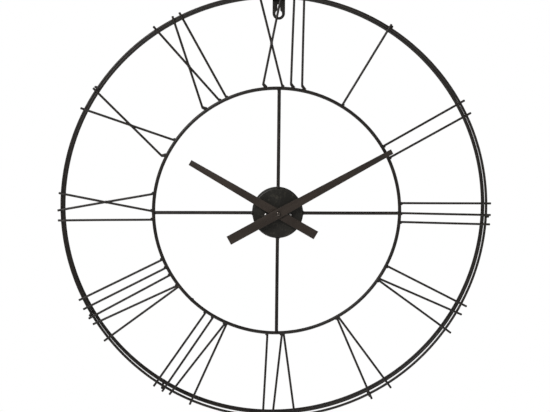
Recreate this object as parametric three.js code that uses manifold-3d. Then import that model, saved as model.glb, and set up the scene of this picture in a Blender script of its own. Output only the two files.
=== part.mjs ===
// Large open wall clock: Roman numerals of thin welded rod between an inner ring and a rim of
// three wire rings, a pressed hub cup with a battery quartz movement in it, and two flat hands.
// Millimetres. +Z up, +X to the right as seen from the front, -Y out of the wall.
// Origin: back face of the hanger plate, on the plate's middle line just above the keyhole slot.
import * as THREE from "three";
import { mergeVertices } from "three/addons/utils/BufferGeometryUtils.js";
import Module from "manifold-3d";

// ---- Driving dimensions ----

// gaps: what is welded, glued or seated, and what turns inside something
const weld_gap = 0.3;
const running_gap = 0.3;
const layer_gap = 0.8;

// rim: three equal wire rings, one behind the other
const rim_diameter = 760;
const rim_wire = 4.5;
const rim_depth = 24;
const middle_ring_back = 7;
const rim_sides = 6;
const rim_steps = 64;
const standoff_wire = 4;
const standoff_hours = [1.033, 3.033, 5.1, 8.03, 10.15];

// numerals: rods laid over the front ring, coped onto the inner ring
const numeral_wire = 4;
const numeral_overhang = 5;
const cross_lift = 1.2;
const foot_height = 4.5;
const foot_run = 3.5;

// inner ring and spokes
const inner_ring_diameter = 437;
const inner_ring_wire = 6;
const inner_ring_steps = 48;
const spoke_wire = 6;

// hanger plate with its keyhole
const plate_width = 22;
const plate_length = 44.5;
const plate_thickness = 1.5;
const plate_lap = 3;
const keyhole_radius = 5.75;
const keyhole_height = 10.5;
const slot_width = 5;
const slot_length = 14;
const origin_above_slot = 4;

// hub cup
const hub_diameter = 90;
const hub_depth = 22;
const hub_wall = 1.2;
const hub_edge_radius = 3;
const hub_front_lift = 4.4;
const hub_steps = 36;

// quartz movement
const case_side = 58;
const case_depth = 13.5;
const case_wall = 1.2;
const chamber_drop = 11.5;
const bay_floor = 0.8;
const cover_thickness = 1.2;
const neck_radius = 4;
const neck_height = 5.2;
const nut_across_flats = 10;
const nut_height = 2.2;
const washer_radius = 7;
const washer_thickness = 0.6;
const battery_diameter = 14.5;
const battery_length = 49.2;
const battery_nub_radius = 2.6;
const battery_nub_length = 1.3;

// spindle, from the inside out
const second_arbor_radius = 0.5;
const minute_arbor_radius = 1.5;
const hour_tube_wall = 0.8;
const round_sides = 24;
const small_sides = 12;

// gear train: distances between arbors, tooth counts, thickness of a wheel
const wheel_thickness = 0.9;
const pinion_thickness = 1.3;
const motion_distance = 12;
const third_distance = 10.8;
const step_distance = 9.5;
const rotor_distance = 7.5;
const motion_direction = 0;
const third_direction = 150;
const step_direction = 62;
const rotor_direction = 28;
const cannon_teeth = 10;
const setting_teeth = 30;
const setting_pinion_teeth = 8;
const hour_teeth = 32;
const centre_teeth = 48;
const third_pinion_teeth = 6;
const third_teeth = 45;
const second_pinion_teeth = 6;
const second_teeth = 45;
const step_pinion_teeth = 6;
const step_teeth = 32;
const rotor_pinion_teeth = 8;
const arbor_radius = 0.8;
const pivot_radius = 0.45;
const setting_arbor_radius = 1.2;
const knob_radius = 5;
const knob_height = 2;
const rotor_radius = 2;
const rotor_height = 2.6;

// drive and electronics
const stator_thickness = 1;
const stator_gap = 0.6;
const stator_rim = 1.8;
const stator_leg = 3;
const coil_radius = 3.2;
const coil_length = 15;
const coil_core = 2;
const coil_aside = 3.5;
const board_thickness = 1;
const board_above_arbor = 3;
const wall_clearance = 1;

// hands, angles clockwise from twelve
const hand_thickness = 1;
const hour_hand_angle = 300;
const hour_hand_length = 178;
const hour_hand_tail = 78;
const hour_hand_tip_width = 10;
const hour_hand_width = 16;
const minute_hand_angle = 61;
const minute_hand_length = 228;
const minute_hand_tail = 99;
const minute_hand_tip_width = 9;
const minute_hand_width = 16.5;
const hand_spacing = 2.4;
const cap_nut_radius = 4.2;
const cap_nut_height = 3.4;

// ---- Levels along Y, from the wall forwards ----

const rim_radius = rim_diameter / 2 - rim_wire / 2;
const rear_ring_y = -(plate_thickness + weld_gap + rim_wire / 2);
const middle_ring_y = rear_ring_y - middle_ring_back;
const front_ring_y = rear_ring_y - rim_depth;
const numeral_y = front_ring_y - rim_wire / 2 - weld_gap - numeral_wire / 2;
const hub_front_y = numeral_y - hub_front_lift;
const hub_inside_y = hub_front_y + hub_wall;
const case_front_y = hub_inside_y + weld_gap;
const case_floor_y = case_front_y + case_wall;
const case_back_y = case_front_y + case_depth;
const cover_front_y = case_back_y + weld_gap;
const cover_back_y = cover_front_y + cover_thickness;
const neck_front_y = case_front_y - neck_height;
const washer_front_y = hub_front_y - weld_gap - washer_thickness;
const nut_front_y = washer_front_y - weld_gap - nut_height;
const hour_hand_y = Math.min(neck_front_y, nut_front_y) - running_gap - hand_thickness;
const minute_hand_y = hour_hand_y - hand_spacing;

// the clock's centre, seen from the origin
const slot_top = rim_diameter / 2 + plate_lap - plate_length + keyhole_height + slot_length
  + slot_width / 2;
const centre_drop = slot_top + origin_above_slot;

// ---- Finishes ----

const finish = (color, roughness, metalness) => new THREE.MeshStandardMaterial({
  color, roughness, metalness,
});
const black_wire = finish(0x2e2925, 0.55, 0.6);
const black_sheet = finish(0x37332f, 0.5, 0.6);
const hand_enamel = finish(0x3a312b, 0.45, 0.5);
const black_plastic = finish(0x1c1c1e, 0.6, 0);
const white_nylon = finish(0xe6e2d6, 0.5, 0);
const brass = finish(0xb5954a, 0.35, 0.9);
const steel = finish(0x9a9a98, 0.35, 0.9);
const copper = finish(0xa8552c, 0.4, 0.8);
const board_green = finish(0x2c5a36, 0.6, 0);
const cell_wrap = finish(0x55585c, 0.4, 0.3);
const magnet_black = finish(0x2b2b2d, 0.5, 0.2);

// ---- Solids ----

const wasm = await Module();
wasm.setup();

// A closed three.js geometry as a solid that can be cut and joined.
function solid(geometry) {
  const bare = geometry.clone();
  bare.deleteAttribute("normal");
  bare.deleteAttribute("uv");
  const merged = mergeVertices(bare, 1e-4);
  return new wasm.Manifold(new wasm.Mesh({
    numProp: 3,
    vertProperties: new Float32Array(merged.attributes.position.array),
    triVerts: new Uint32Array(merged.index.array),
  }));
}

function geometry_of(made) {
  const { vertProperties, triVerts } = made.getMesh();
  const geometry = new THREE.BufferGeometry();
  geometry.setAttribute("position", new THREE.BufferAttribute(vertProperties, 3));
  geometry.setIndex(new THREE.BufferAttribute(triVerts, 1));
  geometry.computeVertexNormals();
  return geometry;
}

const join = (first, ...others) => others.reduce((all, one) => all.add(one), first);
const cut = (first, ...others) => others.reduce((all, one) => all.subtract(one), first);

const radians = (degrees) => degrees * Math.PI / 180;

// A flat outline in X and Z, given thickness along Y between two levels.
function sheet(shape, front_y, back_y, curve_steps = 8) {
  const geometry = new THREE.ExtrudeGeometry(shape, {
    depth: back_y - front_y, bevelEnabled: false, curveSegments: curve_steps,
  });
  geometry.rotateX(Math.PI / 2);
  geometry.translate(0, back_y, 0);
  return solid(geometry);
}

// A block between two corners.
function block(low, high) {
  const size = high.map((value, i) => value - low[i]);
  const geometry = new THREE.BoxGeometry(...size);
  geometry.translate(...low.map((value, i) => value + size[i] / 2));
  return solid(geometry);
}

// A disc or a shaft that lies along Y at (x, z).
function round(radius, front_y, back_y, x = 0, z = 0, sides = small_sides) {
  const geometry = new THREE.CylinderGeometry(radius, radius, back_y - front_y, sides);
  geometry.translate(x, (front_y + back_y) / 2, z);
  return solid(geometry);
}

// A round bar from one point to another.
function bar(from, to, radius, sides = 8) {
  const along = to.clone().sub(from);
  const geometry = new THREE.CylinderGeometry(radius, radius, along.length(), sides);
  const turn = new THREE.Quaternion()
    .setFromUnitVectors(new THREE.Vector3(0, 1, 0), along.clone().normalize());
  geometry.applyQuaternion(turn);
  const middle = from.clone().add(to).multiplyScalar(0.5);
  geometry.translate(middle.x, middle.y, middle.z);
  return solid(geometry);
}

// A wire ring about the clock's axis.
function ring(radius, wire_radius, y, steps) {
  const geometry = new THREE.TorusGeometry(radius, wire_radius, rim_sides, steps);
  geometry.rotateX(Math.PI / 2);
  geometry.translate(0, y, 0);
  return solid(geometry);
}

// A point on the dial: `up` along the radial line at an angle clockwise from twelve, and
// `aside` clockwise across it.
function dial_point(angle, up, aside, y) {
  const sin = Math.sin(radians(angle));
  const cos = Math.cos(radians(angle));
  return new THREE.Vector3(up * sin + aside * cos, y, up * cos - aside * sin);
}

const clock = new THREE.Group();
clock.position.set(0, 0, -centre_drop);

function add(name, made, material) {
  const mesh = new THREE.Mesh(geometry_of(made), material);
  mesh.name = name;
  clock.add(mesh);
}

// ---- Rim ----

const wire = rim_wire / 2;
add("front_ring", ring(rim_radius, wire, front_ring_y, rim_steps), black_wire);
add("middle_ring", ring(rim_radius, wire, middle_ring_y, rim_steps), black_wire);
add("rear_ring", ring(rim_radius, wire, rear_ring_y, rim_steps), black_wire);

// short rods welded across the outside of the three rings
const standoff_radius = rim_diameter / 2 + weld_gap + standoff_wire / 2;
standoff_hours.forEach((hour, i) => {
  const { x, z } = dial_point(30 * hour, standoff_radius, 0, 0);
  const made = round(standoff_wire / 2, front_ring_y - wire, rear_ring_y + wire, x, z, 8);
  add(`standoff_${i + 1}`, made, black_wire);
});

// ---- Inner ring and spokes ----

const inner_radius = inner_ring_diameter / 2;
const inner_wire = inner_ring_wire / 2;
add("inner_ring", ring(inner_radius, inner_wire, numeral_y, inner_ring_steps), black_wire);

const spoke_names = ["top", "right", "bottom", "left"];
spoke_names.forEach((side, i) => {
  const from = dial_point(90 * i, hub_diameter / 2 + weld_gap, 0, numeral_y);
  const to = dial_point(90 * i, inner_radius - inner_wire - 1.5 * weld_gap, 0, numeral_y);
  add(`spoke_${side}`, bar(from, to, spoke_wire / 2), black_wire);
});

// ---- Numerals ----

// Each stroke is one wire or a welded pair. A wire is [outer, inner, foot]: how far clockwise of
// the hour's radial line it crosses the rim and meets the inner ring, and whether it ends in a
// foot bent along that ring. The rods are laid by eye, so the spacing isn't even.
const numerals = {
  1: { i: [[3, 1]] },
  2: { i_a: [[-10, -10.5]], i_b: [[15, 13]] },
  3: { i_a: [[-18, -18]], i_b: [[3, 0]], i_c: [[20, 16]] },
  4: { i: [[-24.5, -16]], v: [[-6.5, 10.8], [30.5, 14.2]] },
  5: { v: [[-20.5, -2.3], [18, 1]] },
  6: { v: [[-35.5, -13.2], [6, -9.8]], i: [[23.5, 16.5]] },
  7: { v: [[-39.5, -23], [0.5, -19.6]], i_a: [[15, 4.5]], i_b: [[33, 20.5]] },
  8: {
    v: [[-45.5, -27.6], [-10.5, -24.2]],
    i_a: [[2.5, -1.5]],
    i_b: [[21.5, 13.5]],
    i_c: [[39.5, 29.5]],
  },
  9: { i: [[-14, -12.5]], x: [[4.5, 32.5], [33.5, 3]] },
  10: { x: [[-12.5, 19], [25, -16.5, "foot"]] },
  11: { x: [[-25.5, 8.5], [8.5, -24, "foot"]], i: [[23, 21.5]] },
  12: { x: [[-36, 5.5], [2.5, -28.5, "foot"]], i_a: [[24.5, 20.5, "foot"]], i_b: [[41.5, 40, "foot"]] },
};

const inner_outside = inner_radius + inner_wire;
const numeral_reach = rim_diameter / 2 + numeral_overhang;
const coping = ring(inner_radius, inner_wire + weld_gap, numeral_y, inner_ring_steps);

function numeral_wire_solid(angle, [outer, inner, foot], y) {
  const slope = (outer - inner) / (rim_radius - inner_outside);
  const aside = (up) => inner + slope * (up - inner_outside);
  // the height at which the rod's axis is a given distance from the clock's centre
  const height_at = (reach) => {
    let up = reach;
    for (let pass = 0; pass < 4; pass += 1) up = Math.sqrt(reach ** 2 - aside(up) ** 2);
    return up;
  };
  const top = height_at(numeral_reach);
  const low = height_at(foot ? inner_outside + foot_height : inner_radius);
  const tip = dial_point(angle, top, aside(top), y);
  const knee = dial_point(angle, low, aside(low), y);
  const rod = bar(tip, knee, numeral_wire / 2);
  if (!foot) return rod;
  const toe_aside = aside(low) + foot_run;
  const toe = dial_point(angle, Math.sqrt(inner_radius ** 2 - toe_aside ** 2), toe_aside, y);
  const back = knee.clone().sub(toe).setLength(numeral_wire / 4).add(knee);
  return join(rod, bar(back, toe, numeral_wire / 2));
}

for (const [hour, strokes] of Object.entries(numerals)) {
  for (const [letter, wires] of Object.entries(strokes)) {
    // in an X the second leg lies over the first, pressed into it where they cross
    const made = wires.map((ends, i) => {
      const lift = letter === "x" ? i * cross_lift : 0;
      return numeral_wire_solid(30 * hour, ends, numeral_y - lift);
    });
    add(`numeral_${hour}_${letter}`, cut(join(...made), coping), black_wire);
  }
}

// ---- Hanger plate ----

const plate_top = rim_diameter / 2 + plate_lap;
const plate_bottom = plate_top - plate_length;
const half_plate = plate_width / 2;
const keyhole_z = plate_bottom + keyhole_height;
const plate_outline = new THREE.Shape();
plate_outline.moveTo(-half_plate, plate_top);
plate_outline.lineTo(-half_plate, plate_bottom + half_plate);
plate_outline.absarc(0, plate_bottom + half_plate, half_plate, Math.PI, 2 * Math.PI);
plate_outline.lineTo(half_plate, plate_top);
const keyhole_cut_y = [-plate_thickness - 1, 1];
const slot = join(
  round(keyhole_radius, ...keyhole_cut_y, 0, keyhole_z, round_sides),
  round(slot_width / 2, ...keyhole_cut_y, 0, keyhole_z + slot_length, round_sides),
  block(
    [-slot_width / 2, keyhole_cut_y[0], keyhole_z],
    [slot_width / 2, keyhole_cut_y[1], keyhole_z + slot_length],
  ),
);
add("hanger_plate", cut(sheet(plate_outline, -plate_thickness, 0), slot), black_sheet);

// ---- Hub cup ----

const hub_radius = hub_diameter / 2;
const hub_hole = neck_radius + running_gap;

function quarter_arc(centre_r, centre_y, radius) {
  const steps = 4;
  return Array.from({ length: steps + 1 }, (_, i) => {
    const turn = radians(90 * i / steps);
    return [centre_r + radius * Math.sin(turn), centre_y - radius * Math.cos(turn)];
  });
}

// A turned piece about the clock's axis, from a closed outline of [radius, y] points.
function turned(outline, steps) {
  const points = [...outline, outline[0]].map(([r, y]) => new THREE.Vector2(r, y));
  return solid(new THREE.LatheGeometry(points, steps));
}

const edge_centre_r = hub_radius - hub_edge_radius;
const edge_centre_y = hub_front_y + hub_edge_radius;
const hub_back_y = hub_front_y + hub_depth;
const hub_outline = [
  [hub_hole, hub_front_y],
  ...quarter_arc(edge_centre_r, edge_centre_y, hub_edge_radius),
  [hub_radius, hub_back_y],
  [hub_radius - hub_wall, hub_back_y],
  ...quarter_arc(edge_centre_r, edge_centre_y, hub_edge_radius - hub_wall).reverse(),
  [hub_hole, hub_inside_y],
];
add("hub_cup", turned(hub_outline, hub_steps), black_sheet);

// ---- Gear teeth ----

// Straight-sided teeth, thin enough to run with play at every phase.
const addendum = 0.75;
const dedendum = 1.05;
const tip_share = 0.1;
const root_share = 0.25;

// `phase` is the direction of one tooth, in degrees anticlockwise from +X as seen in X and Z.
function gear(teeth, module, phase, x, z, middle_y, thickness) {
  const pitch_radius = teeth * module / 2;
  const tip = pitch_radius + addendum * module;
  const root = pitch_radius - dedendum * module;
  const step = 2 * Math.PI / teeth;
  const outline = new THREE.Shape();
  const at = (radius, turn) => [x + radius * Math.cos(turn), z + radius * Math.sin(turn)];
  for (let i = 0; i < teeth; i += 1) {
    const turn = radians(phase) + i * step;
    const corners = [
      at(root, turn - root_share * step), at(tip, turn - tip_share * step),
      at(tip, turn + tip_share * step), at(root, turn + root_share * step),
    ];
    corners.forEach((corner, k) => {
      if (i === 0 && k === 0) outline.moveTo(...corner);
      else outline.lineTo(...corner);
    });
  }
  outline.closePath();
  return sheet(outline, middle_y - thickness / 2, middle_y + thickness / 2);
}

const module_of = (distance, teeth_a, teeth_b) => 2 * distance / (teeth_a + teeth_b);
// a gap of the second gear faces the first one's tooth
const facing = (direction, teeth) => direction + 180 + 180 / teeth;
const placed = (x, z, distance, direction) => [
  x + distance * Math.cos(radians(direction)), z + distance * Math.sin(radians(direction)),
];

// arbors
const [setting_x, setting_z] = placed(0, 0, motion_distance, motion_direction);
const [third_x, third_z] = placed(0, 0, third_distance, third_direction);
const [step_x, step_z] = placed(0, 0, step_distance, step_direction);
const [rotor_x, rotor_z] = placed(step_x, step_z, rotor_distance, rotor_direction);

// layers of wheels, from the case's front wall backwards
const layer_pitch = pinion_thickness + layer_gap - 0.3;
const layer = (count) => case_floor_y + running_gap + pinion_thickness / 2 + count * layer_pitch;
const [hour_layer, cannon_layer, centre_layer, third_layer, second_layer, step_layer] =
  [0, 1, 2, 3, 4, 5].map(layer);

const motion_module = module_of(motion_distance, cannon_teeth, setting_teeth);
const hour_module = module_of(motion_distance, setting_pinion_teeth, hour_teeth);
const centre_module = module_of(third_distance, centre_teeth, third_pinion_teeth);
const third_module = module_of(third_distance, third_teeth, second_pinion_teeth);
const second_module = module_of(step_distance, second_teeth, step_pinion_teeth);
const step_module = module_of(rotor_distance, step_teeth, rotor_pinion_teeth);

// ---- Spindle ----

const hour_bore = minute_arbor_radius + running_gap;
const hour_tube_radius = hour_bore + hour_tube_wall;
const neck_bore = hour_tube_radius + running_gap;
const hour_tube_front = hour_hand_y - weld_gap;
const cap_front_y = minute_hand_y - weld_gap - cap_nut_height;
const thread_front_y = cap_front_y + cap_nut_height / 3;

const hour_wheel = join(
  gear(hour_teeth, hour_module, facing(motion_direction + 180, hour_teeth), 0, 0,
    hour_layer, wheel_thickness),
  round(hour_tube_radius, hour_tube_front, hour_layer + wheel_thickness / 2, 0, 0, round_sides),
);
add("hour_wheel", cut(
  hour_wheel,
  round(hour_bore, hour_tube_front - 1, hour_layer + wheel_thickness, 0, 0, round_sides),
), white_nylon);

const minute_bore_front = centre_layer - pinion_thickness;
const centre_back_y = centre_layer + pinion_thickness / 2;
const centre_wheel = join(
  round(minute_arbor_radius, thread_front_y, centre_back_y, 0, 0, round_sides),
  gear(cannon_teeth, motion_module, motion_direction, 0, 0, cannon_layer, pinion_thickness),
  gear(centre_teeth, centre_module, third_direction, 0, 0, centre_layer, wheel_thickness),
);
add("centre_wheel", cut(
  centre_wheel,
  round(second_arbor_radius + running_gap, minute_bore_front, centre_back_y + 1),
), white_nylon);

// ---- Wheels beside the spindle ----

const pivot_back_y = cover_front_y + cover_thickness * 0.7;
const pivot_front_y = case_floor_y - case_wall * 0.6;

const setting_wheel = join(
  gear(setting_teeth, motion_module, facing(motion_direction, setting_teeth), setting_x,
    setting_z, cannon_layer, wheel_thickness),
  gear(setting_pinion_teeth, hour_module, motion_direction + 180, setting_x, setting_z,
    hour_layer, pinion_thickness),
  round(setting_arbor_radius, hour_layer, cover_back_y + running_gap, setting_x, setting_z),
  round(pivot_radius, pivot_front_y, hour_layer, setting_x, setting_z),
);
add("setting_wheel", setting_wheel, white_nylon);

const knob_front_y = cover_back_y + 2 * running_gap + weld_gap;
const knob = new THREE.Shape();
const knob_ribs = 18;
for (let i = 0; i < 2 * knob_ribs; i += 1) {
  const radius = i % 2 ? knob_radius : knob_radius - 0.5;
  const turn = Math.PI * i / knob_ribs;
  const point = [setting_x + radius * Math.cos(turn), setting_z + radius * Math.sin(turn)];
  if (i === 0) knob.moveTo(...point);
  else knob.lineTo(...point);
}
knob.closePath();
add("setting_knob", sheet(knob, knob_front_y, knob_front_y + knob_height), black_plastic);

const third_wheel = join(
  gear(third_pinion_teeth, centre_module, facing(third_direction, third_pinion_teeth), third_x,
    third_z, centre_layer, pinion_thickness),
  gear(third_teeth, third_module, third_direction + 180, third_x, third_z, third_layer,
    wheel_thickness),
  round(arbor_radius, centre_layer, step_layer, third_x, third_z),
  round(pivot_radius, pivot_front_y, pivot_back_y, third_x, third_z),
);
add("third_wheel", third_wheel, white_nylon);

const second_wheel = join(
  gear(second_pinion_teeth, third_module, facing(third_direction + 180, second_pinion_teeth),
    0, 0, third_layer, pinion_thickness),
  gear(second_teeth, second_module, step_direction, 0, 0, second_layer, wheel_thickness),
  round(arbor_radius, third_layer, step_layer),
  round(second_arbor_radius, minute_bore_front + running_gap, pivot_back_y),
);
add("second_wheel", second_wheel, white_nylon);

const step_wheel = join(
  gear(step_pinion_teeth, second_module, facing(step_direction, step_pinion_teeth), step_x,
    step_z, second_layer, pinion_thickness),
  gear(step_teeth, step_module, rotor_direction, step_x, step_z, step_layer, wheel_thickness),
  round(pivot_radius, third_layer, pivot_back_y, step_x, step_z),
);
add("step_wheel", step_wheel, white_nylon);

const rotor = join(
  round(rotor_radius, third_layer - rotor_height / 2, third_layer + rotor_height / 2, rotor_x,
    rotor_z, round_sides),
  gear(rotor_pinion_teeth, step_module, facing(rotor_direction, rotor_pinion_teeth), rotor_x,
    rotor_z, step_layer, pinion_thickness),
  round(pivot_radius, pivot_front_y, pivot_back_y, rotor_x, rotor_z),
);
add("rotor", rotor, magnet_black);

// ---- Step motor: stator plate with its core, and the coil on that core ----

const half_case = case_side / 2;
const half_bay = half_case - case_wall;
const coil_x = rotor_x + coil_aside;
const coil_z = half_bay - coil_radius - wall_clearance;
const stator_y = [third_layer - stator_thickness / 2, third_layer + stator_thickness / 2];
const eye_radius = rotor_radius + stator_gap;
const head_half = eye_radius + stator_rim;
const yoke_z = rotor_z + head_half;
const leg_outside = coil_length / 2 + stator_leg;
const core_half = coil_core / 2;
const upright = (side) => block(
  [coil_x + side * (leg_outside - stator_leg / 2) - stator_leg / 2, stator_y[0], yoke_z - 1],
  [coil_x + side * (leg_outside - stator_leg / 2) + stator_leg / 2, stator_y[1],
    coil_z + core_half],
);
const stator = join(
  block(
    [rotor_x - head_half, stator_y[0], rotor_z - head_half],
    [rotor_x + head_half, stator_y[1], yoke_z],
  ),
  block(
    [coil_x - leg_outside, stator_y[0], yoke_z - stator_rim],
    [coil_x + leg_outside, stator_y[1], yoke_z + stator_rim / 2],
  ),
  upright(-1),
  upright(1),
  block(
    [coil_x - leg_outside, stator_y[0], coil_z - core_half],
    [coil_x + leg_outside, stator_y[1], coil_z + core_half],
  ),
);
add("stator", cut(
  stator,
  round(eye_radius, stator_y[0] - 1, stator_y[1] + 1, rotor_x, rotor_z, round_sides),
), steel);

const bobbin_half = coil_length / 2 - running_gap;
const bobbin_bore = Math.hypot(core_half, stator_thickness / 2) + running_gap;
const flange = 0.8;
const winding_radius = coil_radius - 0.5;
const coil_outline = [
  [bobbin_bore, -bobbin_half], [coil_radius, -bobbin_half], [coil_radius, -bobbin_half + flange],
  [winding_radius, -bobbin_half + flange], [winding_radius, bobbin_half - flange],
  [coil_radius, bobbin_half - flange], [coil_radius, bobbin_half], [bobbin_bore, bobbin_half],
];
const coil = turned(coil_outline, small_sides)
  .rotate([0, 0, 90])
  .translate([coil_x, third_layer, coil_z]);
add("coil", coil, copper);

// ---- Movement case, cover and circuit board ----

const battery_radius = battery_diameter / 2;
const battery_y = case_front_y + bay_floor + running_gap + battery_radius;
// the wheels' chamber ends chamber_drop below the spindle, and the bay fits below it
const chamber_bottom = -chamber_drop;
const bay_top = chamber_bottom - case_wall;
const battery_z = bay_top - running_gap - battery_radius;
const bay_bottom = battery_z - battery_radius - running_gap;
const case_bottom = bay_bottom - case_wall;
const neck = round(neck_radius, neck_front_y, case_floor_y, 0, 0, round_sides);
const socket = (x, z) => round(
  pivot_radius + running_gap, pivot_front_y - weld_gap / 2, case_back_y, x, z,
);
const movement_case = cut(
  join(
    block([-half_case, case_front_y, case_bottom], [half_case, case_back_y, half_case]),
    neck,
  ),
  block([-half_bay, case_floor_y, chamber_bottom], [half_bay, case_back_y + 1, half_bay]),
  block(
    [-half_bay, case_front_y + bay_floor, bay_bottom],
    [half_bay, case_back_y + 1, bay_top],
  ),
  round(neck_bore, neck_front_y - 1, case_back_y, 0, 0, round_sides),
  socket(setting_x, setting_z),
  socket(third_x, third_z),
  socket(rotor_x, rotor_z),
);
add("movement_case", movement_case, black_plastic);

const through = (radius, x, z) => round(
  radius + running_gap, cover_front_y - 1, cover_back_y + 1, x, z,
);
const movement_cover = cut(
  block([-half_case, cover_front_y, bay_top], [half_case, cover_back_y, half_case]),
  through(setting_arbor_radius, setting_x, setting_z),
  through(pivot_radius, third_x, third_z),
  through(pivot_radius, 0, 0),
  through(pivot_radius, step_x, step_z),
  through(pivot_radius, rotor_x, rotor_z),
);
add("movement_cover", movement_cover, black_plastic);

// the board fills the corner left free by the step wheel and the third wheel's arbor
const board_back_y = case_back_y - wall_clearance;
const step_tip = step_module * (step_teeth / 2 + addendum);
const circuit_board = block(
  [-half_bay + wall_clearance, board_back_y - board_thickness, third_z + board_above_arbor],
  [step_x - step_tip - wall_clearance, board_back_y, half_bay - wall_clearance],
);
add("circuit_board", circuit_board, board_green);

// ---- Battery: its axis lies along X in the open bay ----

const battery_half = battery_length / 2;
const battery_outline = [
  [0, -battery_half], [battery_radius - 0.6, -battery_half],
  [battery_radius, -battery_half + 0.6], [battery_radius, battery_half - 0.6],
  [battery_radius - 0.6, battery_half], [battery_nub_radius, battery_half],
  [battery_nub_radius, battery_half + battery_nub_length], [0, battery_half + battery_nub_length],
];
const battery = solid(new THREE.LatheGeometry(
  battery_outline.map(([r, y]) => new THREE.Vector2(r, y)), round_sides,
));
add("battery", battery.rotate([0, 0, -90]).translate([0, battery_y, battery_z]), cell_wrap);

// ---- Washer and nut on the movement's neck ----

const neck_hole = (front_y, back_y) => round(
  neck_radius + weld_gap, front_y - 1, back_y + 1, 0, 0, round_sides,
);
const washer_y = [washer_front_y, washer_front_y + washer_thickness];
add("washer", cut(
  round(washer_radius, ...washer_y, 0, 0, round_sides), neck_hole(...washer_y),
), brass);
const nut_y = [nut_front_y, nut_front_y + nut_height];
const nut_corner = nut_across_flats / Math.sqrt(3);
add("neck_nut", cut(round(nut_corner, ...nut_y, 0, 0, 6), neck_hole(...nut_y)), brass);

// ---- Hands ----

// A flat bar that tapers from the spindle to its tip, with a parallel tail.
function hand(length, tail, tip_width, width, angle, front_y, bore) {
  const outline = new THREE.Shape();
  outline.moveTo(-width / 2, -tail);
  outline.lineTo(width / 2, -tail);
  outline.lineTo(width / 2, 0);
  outline.lineTo(tip_width / 2, length);
  outline.lineTo(-tip_width / 2, length);
  outline.lineTo(-width / 2, 0);
  outline.closePath();
  const back_y = front_y + hand_thickness;
  const hole = round(bore, front_y - 1, back_y + 1, 0, 0, round_sides);
  return cut(sheet(outline, front_y, back_y), hole).rotate([0, angle, 0]);
}

add("hour_hand", hand(
  hour_hand_length, hour_hand_tail, hour_hand_tip_width, hour_hand_width, hour_hand_angle,
  hour_hand_y, hour_tube_radius + weld_gap,
), hand_enamel);
add("minute_hand", hand(
  minute_hand_length, minute_hand_tail, minute_hand_tip_width, minute_hand_width,
  minute_hand_angle, minute_hand_y, minute_arbor_radius + weld_gap,
), hand_enamel);

// domed cap nut, open at the back for the end of the minute arbor
const cap_back_y = cap_front_y + cap_nut_height;
const cap_skirt = cap_nut_height / 3;
const dome = Array.from({ length: 5 }, (_, i) => {
  const turn = radians(90 * i / 4);
  return [
    cap_nut_radius * Math.sin(turn),
    cap_back_y - cap_skirt - (cap_nut_height - cap_skirt) * Math.cos(turn),
  ];
});
const cap_bore = minute_arbor_radius + weld_gap;
const cap_outline = [
  ...dome, [cap_nut_radius, cap_back_y], [cap_bore, cap_back_y],
  [cap_bore, thread_front_y - weld_gap], [0, thread_front_y - weld_gap],
];
add("cap_nut", solid(new THREE.LatheGeometry(
  cap_outline.map(([r, y]) => new THREE.Vector2(r, y)), round_sides,
)), hand_enamel);

export default clock;
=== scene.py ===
"""Looks of a large open wall clock: welded wire dial, pressed hub, battery movement, two hands."""
import math

import bmesh
import bpy
from mathutils import Matrix, Vector, noise


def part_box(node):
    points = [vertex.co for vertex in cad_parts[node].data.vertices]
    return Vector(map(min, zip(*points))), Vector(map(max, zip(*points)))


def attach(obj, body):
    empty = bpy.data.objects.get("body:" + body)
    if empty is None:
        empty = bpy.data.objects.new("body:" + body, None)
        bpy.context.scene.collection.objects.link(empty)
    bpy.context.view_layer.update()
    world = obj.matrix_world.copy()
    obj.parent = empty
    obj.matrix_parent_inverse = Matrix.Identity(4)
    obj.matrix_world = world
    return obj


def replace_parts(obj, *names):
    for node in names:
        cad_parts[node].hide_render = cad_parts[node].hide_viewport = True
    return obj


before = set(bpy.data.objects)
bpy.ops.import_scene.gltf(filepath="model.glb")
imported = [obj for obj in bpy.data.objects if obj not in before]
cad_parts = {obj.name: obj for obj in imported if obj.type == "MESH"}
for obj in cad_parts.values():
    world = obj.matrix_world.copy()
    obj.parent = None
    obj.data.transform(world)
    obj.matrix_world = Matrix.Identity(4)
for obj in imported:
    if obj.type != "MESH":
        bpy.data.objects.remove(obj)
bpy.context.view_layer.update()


# ---- Viewpoint -------------------------------------------------------------------------------
# The dial is looked at nearly square on, from a little above and to its left, by a normal lens
# close enough that the rim's rear rings show inside the front one.

ring_low, ring_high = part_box("inner_ring")
axis_x = (ring_low.x + ring_high.x) / 2
axis_z = (ring_low.z + ring_high.z) / 2
front_low, front_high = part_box("front_ring")
front_ring_y = (front_low.y + front_high.y) / 2
rim_diameter = front_high.x - front_low.x

VIEW_AZIMUTH = math.radians(-3.7)
VIEW_ELEVATION = math.radians(7.0)
VIEW_ROLL = math.radians(0.6)
VIEW_DISTANCE = 1.358
AIM_ASIDE = -0.0048
AIM_ABOVE = 0.0116

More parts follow.
